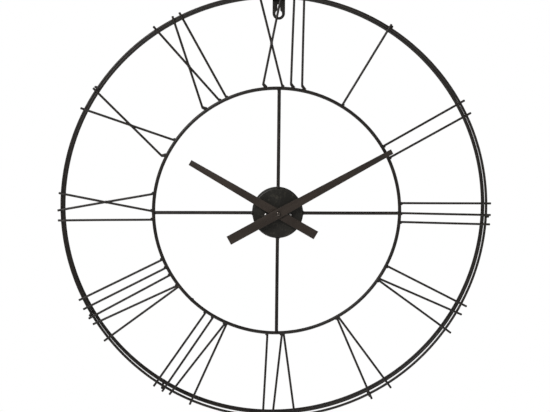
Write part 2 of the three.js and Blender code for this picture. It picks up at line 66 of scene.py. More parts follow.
towards_viewer = Vector((
    math.sin(VIEW_AZIMUTH) * math.cos(VIEW_ELEVATION),
    -math.cos(VIEW_AZIMUTH) * math.cos(VIEW_ELEVATION),
    math.sin(VIEW_ELEVATION),
))
dial_centre = Vector((axis_x, front_ring_y, axis_z))
camera_data = bpy.data.cameras.new("viewer")
camera_data.lens = 50
camera_data.sensor_width = 36
camera = bpy.data.objects.new("viewer", camera_data)
camera.rotation_mode = "QUATERNION"
facing = (-towards_viewer).to_track_quat("-Z", "Y")
across = facing @ Vector((1, 0, 0))
upwards = facing @ Vector((0, 1, 0))
camera.location = (
    dial_centre + towards_viewer * VIEW_DISTANCE + across * AIM_ASIDE + upwards * AIM_ABOVE
)
camera.rotation_quaternion = facing @ Matrix.Rotation(VIEW_ROLL, 3, "Z").to_quaternion()
bpy.context.collection.objects.link(camera)
bpy.context.scene.camera = camera
bpy.context.scene.view_settings.view_transform = "Standard"


# ---- Studio ----------------------------------------------------------------------------------
# A pale sheet of paper well below the clock, in a white room: one broad soft lamp high on the
# left, a weaker one on the right, and dim even light from all round.

class Value:
    """A number socket in a node tree: arithmetic on it adds Math nodes."""

    def __init__(self, tree, socket):
        self.tree = tree
        self.socket = socket

    def _math(self, operation, *values):
        return self.tree.node("ShaderNodeMath", {"operation": operation}, *values)

    def __add__(self, other):
        return self._math("ADD", self, other)

    def __radd__(self, other):
        return self._math("ADD", other, self)

    def __sub__(self, other):
        return self._math("SUBTRACT", self, other)

    def __rsub__(self, other):
        return self._math("SUBTRACT", other, self)

    def __mul__(self, other):
        return self._math("MULTIPLY", self, other)

    def __rmul__(self, other):
        return self._math("MULTIPLY", other, self)


class Tree:
    """The node tree of a material or world, filled by one method."""

    def __init__(self, owner):
        owner.use_nodes = True
        self.nodes = owner.node_tree.nodes
        self.links = owner.node_tree.links
        self.nodes.clear()

    def node(self, kind, settings=None, *values, output=0, **named):
        made = self.nodes.new(kind)
        for name, value in (settings or {}).items():
            if name == "stops":
                self._stops(made.color_ramp, value)
            else:
                setattr(made, name, value)
        numbered = enumerate(values)
        called = ((name.replace("_", " "), value) for name, value in named.items())
        for key, value in [*numbered, *called]:
            socket = made.inputs[key]
            if isinstance(value, Value):
                self.links.new(value.socket, socket)
            elif value is not None:
                socket.default_value = value
        return Value(self, made.outputs[output]) if made.outputs else made

    @staticmethod
    def _stops(ramp, stops):
        while len(ramp.elements) < len(stops):
            ramp.elements.new(1)
        for element, (place, shade) in zip(ramp.elements, stops):
            element.position = place
            element.color = (shade, shade, shade, 1)

    def place(self):
        return self.node("ShaderNodeTexCoord", output=3)

    def stretched(self, scale, turn=(0, 0, 0)):
        return self.node("ShaderNodeMapping", None, self.place(), Rotation=turn, Scale=scale)

    def cloud(self, scale, detail=3.0, at=None, roughness=0.5):
        where = self.place() if at is None else at
        return self.node("ShaderNodeTexNoise", None, Vector=where, Scale=scale, Detail=detail,
                         Roughness=roughness)

    def step(self, value, *stops):
        return self.node("ShaderNodeValToRGB", {"stops": stops}, value)

    @staticmethod
    def _opaque(colour):
        return colour if isinstance(colour, Value) else (*colour, 1)

    def blend(self, share, first, second):
        """Mixes two colours: sockets 0, 6 and 7 of a colour mix are its share and colours."""
        between = [None] * 5
        return self.node("ShaderNodeMix", {"data_type": "RGBA"}, share, *between,
                         self._opaque(first), self._opaque(second), output=2)

    def bump(self, height, distance, strength=1.0):
        return self.node("ShaderNodeBump", None, Strength=strength, Distance=distance,
                         Height=height)

    def surface(self, base, **sockets):
        shader = self.node("ShaderNodeBsdfPrincipled", None, Base_Color=self._opaque(base),
                           **sockets)
        self.node("ShaderNodeOutputMaterial", None, shader)


def new_finish(name):
    material = bpy.data.materials.new(name)
    return material, Tree(material)


BACKDROP_WHITE = 1.0
ROOM_LIGHT = 0.2
world = bpy.data.worlds.new("studio")
bpy.context.scene.world = world
room = Tree(world)
seen = room.node("ShaderNodeLightPath", output=0)
level = seen * (BACKDROP_WHITE - ROOM_LIGHT) + ROOM_LIGHT
glow = room.node("ShaderNodeBackground", None, (1, 1, 1, 1), level)
room.node("ShaderNodeOutputWorld", None, glow)


def lay_object(name, mesh):
    made = bpy.data.objects.new(name, mesh)
    bpy.context.collection.objects.link(made)
    return made


FLOOR_DROP = 0.9
FLOOR_HALF = 1.6
paper_white, paper = new_finish("paper_white")
paper_grain = paper.cloud(90, 4)
paper.surface(
    paper.blend(paper_grain, (0.88, 0.88, 0.87), (0.93, 0.93, 0.92)),
    Roughness=0.9, Normal=paper.bump(paper_grain, 0.0004, 0.3),
    Emission_Color=(1, 1, 1, 1), Emission_Strength=0.9,
)
floor_z = axis_z - rim_diameter / 2 - FLOOR_DROP
floor_mesh = bpy.data.meshes.new("studio_floor")
floor_mesh.from_pydata(
    [(-FLOOR_HALF, -FLOOR_HALF, floor_z), (FLOOR_HALF, -FLOOR_HALF, floor_z),
     (FLOOR_HALF, FLOOR_HALF, floor_z), (-FLOOR_HALF, FLOOR_HALF, floor_z)],
    [], [(0, 1, 2, 3)],
)
floor_mesh.materials.append(paper_white)
lay_object("studio_floor", floor_mesh)


def soft_lamp(name, place, size, watts):
    data = bpy.data.lights.new(name, "AREA")
    data.shape = "DISK"
    data.size = size
    data.energy = watts
    lamp = lay_object(name, data)
    lamp.location = dial_centre + Vector(place)
    lamp.rotation_mode = "QUATERNION"
    lamp.rotation_quaternion = (-Vector(place)).to_track_quat("-Z", "Y")


soft_lamp("key_lamp", (-1.0, -1.0, 1.1), 0.8, 30)
soft_lamp("fill_lamp", (1.6, -1.4, 0.4), 1.4, 7)


# ---- Rim -------------------------------------------------------------------------------------
# Three hoops of 4.5 mm steel wire, one behind the other, each bent round and butt-welded, then
# powder-coated brown-black with everything that is welded to them.

class Shell:
    """Gathers the surfaces of one piece and lays them down as a mesh."""

    def __init__(self):
        self.points = []
        self.faces = []

    def add(self, points, faces):
        start = len(self.points)
        self.points += [tuple(p) for p in points]
        self.faces += [tuple(start + i for i in face) for face in faces]

    def tube(self, centres, radii, sides=14, closed=False):
        """A round tube on a line of centres, with flat capped ends unless it is a hoop."""
        count = len(centres)
        rings = []
        side = None
        for i, centre in enumerate(centres):
            after = centres[(i + 1) % count] if closed or i + 1 < count else centre
            before = centres[i - 1] if closed or i > 0 else centre
            along = (after - before).normalized()
            if side is None:
                side = along.cross(Vector((0, 1, 0)))
                if side.length < 1e-3:
                    side = along.cross(Vector((1, 0, 0)))
            side = (side - along * side.dot(along)).normalized()
            other = along.cross(side)
            rings.append([
                centre + (side * math.cos(t) + other * math.sin(t)) * radii[i]
                for t in (2 * math.pi * k / sides for k in range(sides))
            ])
        points = [p for one in rings for p in one]
        faces = []
        for i in range(count if closed else count - 1):
            a, b = i * sides, (i + 1) % count * sides
            faces += [(a + k, a + (k + 1) % sides, b + (k + 1) % sides, b + k)
                      for k in range(sides)]
        if not closed:
            faces.append(tuple(range(sides))[::-1])
            faces.append(tuple(range((count - 1) * sides, count * sides)))
        self.add(points, faces)

    def lathe(self, outline, steps, centre=(0, 0, 0)):
        """Turns an outline of (radius, y) about Y. A radius of nought closes on the axis."""
        points, rows = [], []
        for radius, y in outline:
            if radius < 1e-9:
                rows.append([len(points)] * steps)
                points.append(Vector(centre) + Vector((0, y, 0)))
                continue
            rows.append(list(range(len(points), len(points) + steps)))
            points += [
                Vector(centre) + Vector((radius * math.cos(t), y, radius * math.sin(t)))
                for t in (2 * math.pi * k / steps for k in range(steps))
            ]
        faces = []
        for lower, upper in zip(rows, rows[1:]):
            for k in range(steps):
                n = (k + 1) % steps
                corners = [lower[k], lower[n], upper[n], upper[k]]
                faces.append(tuple(dict.fromkeys(corners)))
        self.add(points, [face for face in faces if len(face) > 2])

    def bead(self, centre, size, seed, rings=7, sides=12):
        """A lump of weld metal: an uneven ball, flattened by the three sizes given."""
        points = [None]
        for i in range(1, rings):
            tilt = math.pi * i / rings
            for k in range(sides):
                turn = 2 * math.pi * k / sides
                points.append(Vector((
                    math.sin(tilt) * math.cos(turn), math.sin(tilt) * math.sin(turn),
                    math.cos(tilt),
                )))
        points[0] = Vector((0, 0, 1))
        points.append(Vector((0, 0, -1)))
        shaped = []
        for p in points:
            swell = 1 + 0.22 * noise.noise(p * 1.7 + Vector((seed * 3.1, seed * 1.7, seed)))
            shaped.append(Vector(centre) + Vector(
                (p.x * size[0], p.y * size[1], p.z * size[2])
            ) * swell)
        last = len(points) - 1
        faces = [(0, 1 + k, 1 + (k + 1) % sides) for k in range(sides)]
        for i in range(rings - 2):
            a, b = 1 + i * sides, 1 + (i + 1) * sides
            faces += [(a + k, b + k, b + (k + 1) % sides, a + (k + 1) % sides)
                      for k in range(sides)]
        a = 1 + (rings - 2) * sides
        faces += [(last, a + (k + 1) % sides, a + k) for k in range(sides)]
        self.add(shaped, faces)

    def lay(self, name, finish, body="root", smooth=True, crease=35):
        mesh = bpy.data.meshes.new(name)
        mesh.from_pydata(self.points, [], self.faces)
        work = bmesh.new()
        work.from_mesh(mesh)
        bmesh.ops.recalc_face_normals(work, faces=work.faces)
        work.to_mesh(mesh)
        work.free()
        mesh.materials.append(finish)
        if smooth:
            mesh.shade_smooth()
            mesh.set_sharp_from_angle(angle=math.radians(crease))
        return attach(lay_object(name, mesh), body)


def dial_point(angle, up, aside, y):
    """A point `up` the radial line at an angle clockwise from twelve, `aside` clockwise of it."""
    sin, cos = math.sin(math.radians(angle)), math.cos(math.radians(angle))
    return Vector((
        axis_x + up * sin + aside * cos, y, axis_z + up * cos - aside * sin,
    ))


def coat(name, dark, warm, grain_depth=0.00004):
    """Satin powder coat: mottled colour, a fine orange peel and a few rubbed spots."""
    material, tree = new_finish(name)
    mottle = tree.cloud(38, 5, roughness=0.6)
    peel = tree.cloud(1500, 2)
    rub = tree.step(tree.cloud(210, 3), (0.56, 0.0), (0.72, 1.0))
    colour = tree.blend(tree.step(mottle, (0.35, 0.0), (0.68, 1.0)), dark, warm)
    worn = tree.blend(rub * 0.35, colour, tuple(4.5 * c for c in warm))
    tree.surface(
        worn, Roughness=0.40 + 0.22 * mottle - 0.08 * rub, Metallic=0.0,
        Specular_IOR_Level=0.32, Normal=tree.bump(peel, grain_depth, 0.5),
    )
    return material


wire_coat = coat("wire_coat", (0.0075, 0.0058, 0.0046), (0.0150, 0.0112, 0.0085))

rim_wire = 0.0045
rim_radius = rim_diameter / 2 - rim_wire / 2
HOOP_STEPS = 360

# how each hoop was bent out of true: lobes round it, how far they stand out in millimetres, and
# the direction of one of them, clockwise from the top. No lobes means that the hoop is small all
# round, and one means that it sits off centre.
HOOP_BENDS = {
    "front_ring": ((2, 0.8, 140), (3, 0.4, 60)),
    "middle_ring": ((0, -0.2, 0), (1, 0.5, 120), (2, 0.8, 130)),
    "rear_ring": ((0, -0.4, 0), (2, 1.0, 105)),
    "inner_ring": ((2, 0.2, 135),),
}
MM = 0.001


def out_of_round(node, angle):
    """How far a hoop stands outside its true circle at an angle, in metres."""
    return MM * sum(
        size * math.cos(math.radians(lobes * (angle - direction)))
        for lobes, size, direction in HOOP_BENDS[node]
    )


def hoop(node, radius, wire, seed):
    low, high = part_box(node)
    y = (low.y + high.y) / 2
    shell = Shell()
    centres, radii = [], []
    for i in range(HOOP_STEPS):
        angle = 360 * i / HOOP_STEPS
        turn = dial_point(angle, 1, 0, 0) - Vector((axis_x, 0, axis_z))
        drift = noise.noise(turn * 2.2 + Vector((seed, 0, 0))) * 0.0003
        centres.append(dial_point(angle, radius + drift + out_of_round(node, angle), 0, y))
        radii.append(wire / 2 * (1 + 0.02 * noise.noise(turn * 40 + Vector((seed, 0, 0)))))
    shell.tube(centres, radii, sides=20, closed=True)
    # the butt weld, dressed nearly flush, low on the left of the hoop
    weld_angle = 180 + 11 * seed
    shell.bead(dial_point(weld_angle, radius + out_of_round(node, weld_angle), 0, y),
               (wire * 0.58,) * 3, seed)
    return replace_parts(shell.lay(node + "_wire", wire_coat), node)


hoop("front_ring", rim_radius, rim_wire, 1)
hoop("middle_ring", rim_radius, rim_wire, 2)
hoop("rear_ring", rim_radius, rim_wire, 3)


# ---- Standoffs -------------------------------------------------------------------------------
# Short rods across the outside of the three hoops that hold them apart, tacked to each one.

middle_y, rear_y = [
    sum(corner.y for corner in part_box(node)) / 2 for node in ("middle_ring", "rear_ring")
]
standoff_low, standoff_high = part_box("standoff_1")
standoff_radius = (standoff_high.x - standoff_low.x) / 2


def lay_standoff(name, angle, seed):
    """A rod that leans with the hoops it touches, and its three tacks."""
    outside = rim_radius + rim_wire / 2 + standoff_radius * 0.9
    ends = [
        dial_point(angle, outside + out_of_round(node, angle), 0, y)
        for node, y in (("front_ring", standoff_low.y), ("rear_ring", standoff_high.y))
    ]
    shares = (0, 0.008, 0.025, 0.5, 0.975, 0.992, 1)
    rounded = (0.72, 0.92, 1, 1, 1, 0.92, 0.72)
    shell = Shell()
    shell.tube(
        [ends[0].lerp(ends[1], share) for share in shares],
        [standoff_radius * share for share in rounded],
    )
    levels = (("front_ring", front_ring_y), ("middle_ring", middle_y), ("rear_ring", rear_y))
    for i, (node, y) in enumerate(levels):
        edge = rim_radius + rim_wire / 2 + out_of_round(node, angle)
        shell.bead(dial_point(angle, edge, 0, y), (0.0022, 0.0027, 0.0022), seed * 3 + i)
    return shell.lay(name, wire_coat)


for number in range(1, 6):
    node = f"standoff_{number}"
    low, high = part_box(node)
    centre = (low + high) / 2
    angle = math.degrees(math.atan2(centre.x - axis_x, centre.z - axis_z))
    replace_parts(lay_standoff(node + "_rod", angle, number), node)
lay_standoff("standoff_between_rod", 212.8, 6)


# ---- Inner ring and spokes -------------------------------------------------------------------
# A hoop of 6 mm wire carries the inner ends of the numerals, and four straight spokes of the same
# wire hold it to the hub, each with a fillet of weld at both ends.

inner_wire = 0.006
inner_radius = (ring_high.x - ring_low.x) / 2 - inner_wire / 2
numeral_y = (ring_low.y + ring_high.y) / 2
hub_low, hub_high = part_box("hub_cup")
hub_radius = (hub_high.x - hub_low.x) / 2
spoke_wire = 0.006
hoop("inner_ring", inner_radius, inner_wire, 4)


def fillet(distance, reach, flare):
    """How far a fillet stands out of a wire at a distance from the face it is welded to."""
    if distance >= reach:
        return 0.0
    return flare * (1 - math.sqrt(1 - (1 - distance / reach) ** 2))


for turn, side in enumerate(("top", "right", "bottom", "left")):
    inside, outside = hub_radius - 0.0004, inner_radius - inner_wire / 2 + 0.0006
    ups = [inside + 0.0004 * i for i in range(12)]
    ups += [inside + (outside - inside) * i / 24 for i in range(2, 23)]
    ups += [outside - 0.0004 * i for i in range(11, -1, -1)]
    radii = [
        spoke_wire / 2 + fillet(up - inside, 0.0036, 0.0024)
        + fillet(outside - up, 0.0026, 0.0012) for up in ups
    ]
    bow = [0.0002 * math.sin(math.pi * i / (len(ups) - 1)) for i in range(len(ups))]
    shell = Shell()
    shell.tube(
        [dial_point(90 * turn, up, b, numeral_y) for up, b in zip(ups, bow)], radii, sides=18,
    )
    node = "spoke_" + side
    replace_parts(shell.lay(node + "_wire", wire_coat), node)


# ---- Numerals --------------------------------------------------------------------------------
# Roman figures of 4 mm rod, laid over the front hoop by eye with their ends left long, welded
# to it and to the outside of the inner ring. Some feet are bent along that ring.

# each wire: millimetres clockwise of the hour's radial line at the rim and at the inner ring,
# how far its tip stands out of the rim, and whether it ends in a bent foot
NUMERALS = {
    1: {"i": [(3, 1, 3.5, 0)]},
    2: {"i_a": [(-10, -10.5, 5.5, 0)], "i_b": [(15, 13, 5.5, 0)]},
    3: {"i_a": [(-18, -18, 5, 0)], "i_b": [(3, 0, 5, 0)], "i_c": [(20, 16, 5, 0)]},
    4: {"i": [(-24.5, -16, 8, 0)], "v": [(-6.5, 10.8, 7.5, 0), (30.5, 14.2, 9.5, 0)]},
    5: {"v": [(-20.5, -2.3, 8, 0), (18, 1, 8, 0)]},
    6: {"v": [(-35.5, -13.2, 5, 0), (6, -9.8, 5, 0)], "i": [(23.5, 16.5, 5, 0)]},
    7: {"v": [(-39.5, -23, 4.5, 0), (0.5, -19.6, 4, 0)], "i_a": [(15, 4.5, 5.5, 0)],
        "i_b": [(33, 20.5, 5.5, 0)]},
    8: {"v": [(-45.5, -27.6, 5, 0), (-10.5, -24.2, 3.5, 0)], "i_a": [(2.5, -1.5, 4.5, 0)],
        "i_b": [(21.5, 13.5, 4.5, 0)], "i_c": [(39.5, 29.5, 4, 0)]},
    9: {"i": [(-14, -12.5, 4, 0)], "x": [(4.5, 32.5, 4, 0), (33.5, 3, 2.5, 0)]},
    10: {"x": [(-12.5, 19, 6, 0), (25, -16.5, 4.5, 1)]},
    11: {"x": [(-25.5, 8.5, 6, 0), (8.5, -24, 4, 1)], "i": [(23, 21.5, 4.5, 0)]},
    12: {"x": [(-36, 5.5, 5, 0), (2.5, -28.5, 5, 1)], "i_a": [(24.5, 20.5, 5, 1)],
         "i_b": [(41.5, 40, 5, 1)]},
}
numeral_wire = 0.004
cross_lift = 0.0012
foot_height = 0.0045
foot_run = 0.0035
inner_outside = inner_radius + inner_wire / 2
ROD_STEPS = 36
WELD_RUN_HEIGHT = 0.0042
WELD_RUN_ASIDE = 0.0026


def lay_rod(shell, angle, outer, inner, overhang, foot, lift, seed):
    """One rod from its loose tip, over the front hoop, down to its weld on the inner ring."""
    outer, inner = outer * MM, inner * MM
    reach = rim_diameter / 2 + overhang * MM
    slope = (outer - inner) / (rim_radius - inner_outside)

    def aside(up):
        return inner + slope * (up - inner_outside)

    def height_at(distance):
        up = distance
        for _ in range(4):
            up = math.sqrt(distance ** 2 - aside(up) ** 2)
        return up

    tip_up = height_at(reach)
    low = height_at(inner_outside + (foot_height if foot else -0.0006))
    y = numeral_y - lift
    line = []
    for i in range(ROD_STEPS + 1):
        share = i / ROD_STEPS
        up = tip_up + (low - tip_up) * share
        bow = 0.00035 * math.sin(math.pi * share) * noise.noise(Vector((seed, share, 0.5)))
        line.append(dial_point(angle, up, aside(up) + bow, y + 0.5 * bow))
    if foot:
        toe_aside = aside(low) + foot_run
        toe_up = math.sqrt((inner_outside - 0.0006) ** 2 - toe_aside ** 2)
        for share in (0.35, 0.7, 1.0):
            line.append(dial_point(
                angle, low + (toe_up - low) * share, aside(low) + foot_run * share, y,
            ))
    radius = numeral_wire / 2
    start = (line[1] - line[0]).normalized()
    # the sheared tip has a small burr-free chamfer
    line = [line[0], line[0] + start * 0.00025, line[0] + start * 0.0007, *line[1:]]
    radii = [radius * 0.7, radius * 0.93, *[radius] * (len(line) - 2)]
    shell.tube(line, radii, sides=14)
    # welds: under the rod where it crosses the front hoop, and round its foot
    crossing = angle + math.degrees(math.atan2(aside(rim_radius), rim_radius))
    hoop_radius = rim_radius + out_of_round("front_ring", crossing)
    cross_up = math.sqrt(hoop_radius ** 2 - aside(rim_radius) ** 2)
    behind = (y + front_ring_y) / 2
    shell.bead(dial_point(angle, cross_up, aside(cross_up), behind),
               (0.0025, 0.0022 + lift / 2, 0.0025), seed)
    shell.bead(line[-1], (0.0024, 0.0023, 0.0024), seed + 0.5)
    # the weld metal runs down to the ring on the rod's clockwise side
    run_from = low + WELD_RUN_HEIGHT
    run_aside = aside(low) + (foot_run if foot else 0) + WELD_RUN_ASIDE
    run_to = math.sqrt((inner_outside - 0.0004) ** 2 - run_aside ** 2)
    run = [
        dial_point(angle, run_from + (run_to - run_from) * t,
                   aside(low) + (run_aside - aside(low)) * t ** 1.5, y)
        for t in (0, 0.25, 0.5, 0.75, 1)
    ]
    shell.tube(run, [0.0012, 0.0016, 0.0018, 0.0020, 0.0022], sides=12)


for hour, strokes in NUMERALS.items():
    for letter, wires in strokes.items():
        node = f"numeral_{hour}_{letter}"
        shell = Shell()
        for i, (outer, inner, overhang, foot) in enumerate(wires):
            lift = i * cross_lift if letter == "x" else 0
            lay_rod(shell, 30 * hour, outer, inner, overhang, foot, lift,
                    hour * 7 + len(node) + i)
        if letter == "x":
            (o1, i1, *_), (o2, i2, *_) = wires
            share = (i2 - i1) / ((o1 - i1) - (o2 - i2))
            up = inner_outside + share * (rim_radius - inner_outside)
            shell.bead(
                dial_point(30 * hour, up, (i1 + (o1 - i1) * share) * MM,
                           numeral_y - cross_lift / 2),
                (0.0027, 0.0026, 0.0027), hour,
            )
        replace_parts(shell.lay(node + "_rods", wire_coat), node)


# ---- Hanger plate ----------------------------------------------------------------------------
# A stamped 1.5 mm steel plate with a keyhole, lapped on the back of the rear hoop at twelve and
# welded along both sides of the wire. Its rims are rounded by the press.

sheet_coat = coat("sheet_coat", (0.0105, 0.0095, 0.0074), (0.0170, 0.0155, 0.0120), 0.00003)


def plate_mesh(outline, holes, front_y, back_y, bevel, segments=3):
    """A flat outline in X and Z with holes, given thickness and rounded edges."""
    work = bmesh.new()
    edges = []
    for loop in (outline, *holes):
        corners = [work.verts.new((x, front_y, z)) for x, z in loop]
        edges += [
            work.edges.new((corners[i], corners[(i + 1) % len(corners)]))
            for i in range(len(corners))
        ]
    bmesh.ops.triangle_fill(work, use_beauty=True, use_dissolve=False, edges=edges)
    raised = bmesh.ops.extrude_face_region(work, geom=work.faces[:])
    moved = [v for v in raised["geom"] if isinstance(v, bmesh.types.BMVert)]
    bmesh.ops.translate(work, verts=moved, vec=(0, back_y - front_y, 0))
    bmesh.ops.recalc_face_normals(work, faces=work.faces)
    bmesh.ops.dissolve_limit(work, angle_limit=math.radians(1), verts=work.verts,
                             edges=work.edges)
    sharp = [e for e in work.edges
             if len(e.link_faces) == 2 and e.calc_face_angle() > math.radians(50)
             and abs(e.verts[0].co.y - e.verts[1].co.y) < 1e-7]
    bmesh.ops.bevel(work, geom=sharp, offset=bevel, segments=segments, profile=0.5,
                    affect="EDGES", clamp_overlap=True)
    mesh = bpy.data.meshes.new("plate")
    work.to_mesh(mesh)
    work.free()
    return mesh


def lay_plate(name, mesh, finish, body="root"):
    mesh.materials.append(finish)
    mesh.shade_smooth()
    mesh.set_sharp_from_angle(angle=math.radians(40))
    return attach(lay_object(name, mesh), body)


def arc(centre_x, centre_z, radius, start, stop, steps):
    return [
        (centre_x + radius * math.cos(math.radians(start + (stop - start) * i / steps)),
         centre_z + radius * math.sin(math.radians(start + (stop - start) * i / steps)))
        for i in range(steps + 1)
    ]


plate_low, plate_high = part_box("hanger_plate")
plate_half = (plate_high.x - plate_low.x) / 2
keyhole_radius, slot_half, slot_length = 0.00575, 0.0025, 0.014
keyhole_z = plate_low.z + 0.0105
slot_meets = math.degrees(math.acos(slot_half / keyhole_radius))
plate_outline = [
    (plate_high.x, plate_high.z), (plate_low.x, plate_high.z),
    *arc(0, plate_low.z + plate_half, plate_half, 180, 360, 32),
]
keyhole = [
    *arc(0, keyhole_z, keyhole_radius, 180 - slot_meets, 360 + slot_meets, 36),
    *arc(0, keyhole_z + slot_length, slot_half, 0, 180, 16),
]
hanger = lay_plate(
    "keyhole_plate",
    plate_mesh(plate_outline, [keyhole], plate_low.y, plate_high.y, 0.00035), sheet_coat,
)
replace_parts(hanger, "hanger_plate")

# a seam of weld on each side of the plate, between it and the rear hoop
for side in (-1, 1):
    shell = Shell()
    for i in range(4):
        up = rim_radius + out_of_round("rear_ring", 0) + (i - 1.5) * 0.0013
        shell.bead((side * plate_half, rear_y + 0.0012, axis_z + up), (0.0013, 0.0014, 0.0011),
                   side * 5 + i)
    shell.lay("plate_weld_right" if side > 0 else "plate_weld_left", wire_coat)


# ---- Hub -------------------------------------------------------------------------------------
# A shallow cup pressed from 1.2 mm sheet, face to the front, with a rolled edge and a plain
# spindle hole. Two slotted screws through its face hold the movement square.

HUB_EDGE = 0.003
HUB_WALL = 0.0012
HUB_HOLE = 0.0043
hub_front, hub_back = hub_low.y, hub_high.y
hub_profile = [(HUB_HOLE, hub_front + 0.0002), (HUB_HOLE + 0.0002, hub_front)]
# the face is dished a hair towards the middle, as pressings are
for i in range(1, 10):
    share = i / 10
    radius = HUB_HOLE + (hub_radius - HUB_EDGE - HUB_HOLE) * share
    hub_profile.append((radius, hub_front + 0.00025 * math.sin(math.pi * share)))
for i in range(9):
    turn = math.radians(90 * i / 8)
    hub_profile.append((
        hub_radius - HUB_EDGE + HUB_EDGE * math.sin(turn),
        hub_front + HUB_EDGE - HUB_EDGE * math.cos(turn),
    ))
hub_profile += [
    (hub_radius, hub_back - 0.004), (hub_radius, hub_back - 0.0003),
    (hub_radius - 0.0003, hub_back), (hub_radius - HUB_WALL + 0.0002, hub_back),
    (hub_radius - HUB_WALL, hub_back - 0.0003),
]
for i in range(7):
    turn = math.radians(90 - 90 * i / 6)
    inner_edge = HUB_EDGE - HUB_WALL
    hub_profile.append((
        hub_radius - HUB_EDGE + inner_edge * math.sin(turn),
        hub_front + HUB_EDGE - inner_edge * math.cos(turn),
    ))
hub_profile += [(0.02, hub_front + HUB_WALL), (HUB_HOLE, hub_front + HUB_WALL),
                (HUB_HOLE, hub_front + 0.0002)]
shell = Shell()
shell.lathe(hub_profile, 144, (axis_x, 0, axis_z))
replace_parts(shell.lay("hub_shell", sheet_coat, crease=50), "hub_cup")

screw_steel, tree = new_finish("screw_steel")
scratch = tree.cloud(900, 3)
tree.surface(
    tree.blend(scratch, (0.32, 0.31, 0.30), (0.50, 0.49, 0.47)), Metallic=1.0,
    Roughness=0.22 + 0.18 * scratch, Normal=tree.bump(scratch, 0.00001, 0.4),
)
SCREW_ASIDE = 0.021
SCREW_DROP = 0.0035
SCREW_HEAD = 0.0034
SCREW_HEIGHT = 0.0019


def slotted_head(name, x, z, lean):
    """A round-headed screw: a domed head with a slot sawn through it."""
    shell = Shell()
    dome = [(0, hub_front - SCREW_HEIGHT)]
    for i in range(1, 9):
        turn = math.radians(90 * i / 8)
        dome.append((
            SCREW_HEAD * math.sin(turn),
            hub_front - 0.0003 - (SCREW_HEIGHT - 0.0003) * math.cos(turn),
        ))
    dome += [(SCREW_HEAD, hub_front + 0.0001), (0, hub_front + 0.0001)]
    shell.lathe(dome, 40, (x, 0, z))
    head = shell.lay(name, screw_steel)
    cutter_shell = Shell()
    half, depth = 0.00045, 0.0009
    corners = [(sx * 0.005, sy, sz * half) for sx in (-1, 1)
               for sy in (hub_front - 0.003, hub_front - SCREW_HEIGHT + depth) for sz in (-1, 1)]
    turned = Matrix.Rotation(lean, 3, "Y")
    cutter_shell.add(
        [turned @ Vector(c) + Vector((x, 0, z)) for c in corners],
        [(0, 1, 3, 2), (4, 6, 7, 5), (0, 4, 5, 1), (2, 3, 7, 6), (0, 2, 6, 4), (1, 5, 7, 3)],
    )
    cutter = cutter_shell.lay(name + "_slot", screw_steel)
    sawn = head.modifiers.new("slot", "BOOLEAN")
    sawn.operation = "DIFFERENCE"
    sawn.object = cutter
    graph = bpy.context.evaluated_depsgraph_get()
    mesh = bpy.data.meshes.new_from_object(head.evaluated_get(graph))
    head.modifiers.clear()
    head.data = mesh
    bpy.data.objects.remove(cutter)


slotted_head("hub_screw_left", axis_x - SCREW_ASIDE, axis_z - SCREW_DROP, 1.35)
slotted_head("hub_screw_right", axis_x + SCREW_ASIDE, axis_z - SCREW_DROP, 1.75)


# ---- Movement case ---------------------------------------------------------------------------
# A square box moulded in black plastic that fills the cup, with the wheels under a clipped-on
# cover and an open bay for one cell below. Fine spark texture outside.

case_plastic, tree = new_finish("case_plastic")
spark = tree.cloud(2600, 2)
shade = tree.cloud(60, 3)
tree.surface(
    tree.blend(shade, (0.010, 0.010, 0.011), (0.020, 0.020, 0.021)),
    Roughness=0.48 + 0.2 * spark, Normal=tree.bump(spark, 0.00004, 0.6),
)
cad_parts["movement_case"].data.materials[0] = case_plastic

cover_low, cover_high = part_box("movement_cover")
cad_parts["movement_cover"].data.materials[0] = case_plastic

# two upright ribs and two level ones stand on the cover's back
shell = Shell()


def slab(shell, low, high):
    corners = [(x, y, z) for x in (low[0], high[0]) for y in (low[1], high[1])
               for z in (low[2], high[2])]
    shell.add(corners, [
        (0, 1, 3, 2), (4, 6, 7, 5), (0, 4, 5, 1), (2, 3, 7, 6), (0, 2, 6, 4), (1, 5, 7, 3),
    ])


RIB = 0.0008
back_y = cover_high.y
for share in (-0.8, 0.8):
    x = axis_x + share * cover_high.x
    slab(shell, (x - RIB, back_y, cover_low.z + 0.003), (x + RIB, back_y + RIB,
                                                        cover_high.z - 0.003))
for share in (0.08, 0.92):
    z = cover_low.z + share * (cover_high.z - cover_low.z)
    slab(shell, (-0.8 * cover_high.x + RIB, back_y, z - RIB),
         (0.8 * cover_high.x - RIB, back_y + RIB, z + RIB))
shell.lay("cover_ribs", case_plastic, smooth=False)


# ---- Washer and neck nut ---------------------------------------------------------------------
# A thin brass washer and a hexagon nut pull the movement's threaded neck against the hub.

turned_brass, tree = new_finish("turned_brass")
tool_marks = tree.cloud(1, 2, at=tree.stretched((90, 5200, 90)))
tarnish = tree.cloud(260, 4)
tree.surface(
    tree.blend(tarnish, (0.62, 0.44, 0.18), (0.42, 0.28, 0.11)), Metallic=1.0,
    Roughness=0.24 + 0.25 * tarnish, Normal=tree.bump(tool_marks, 0.00002, 0.4),
)
for node in ("washer", "neck_nut"):
    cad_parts[node].data.materials[0] = turned_brass


# ---- Wheels ----------------------------------------------------------------------------------
# Moulded nylon wheels turn between the case and its cover. The rotor is a bonded magnet with a
# pinion, and its field comes from a stamped steel plate through a coil of lacquered wire.

def plain_moulding(name, light, dark, roughness, depth=0.00002):
    material, tree = new_finish(name)
    flow = tree.cloud(420, 3)
    tree.surface(
        tree.blend(flow, light, dark), Roughness=roughness + 0.12 * flow,
        Normal=tree.bump(flow, depth, 0.4),
    )
    return material


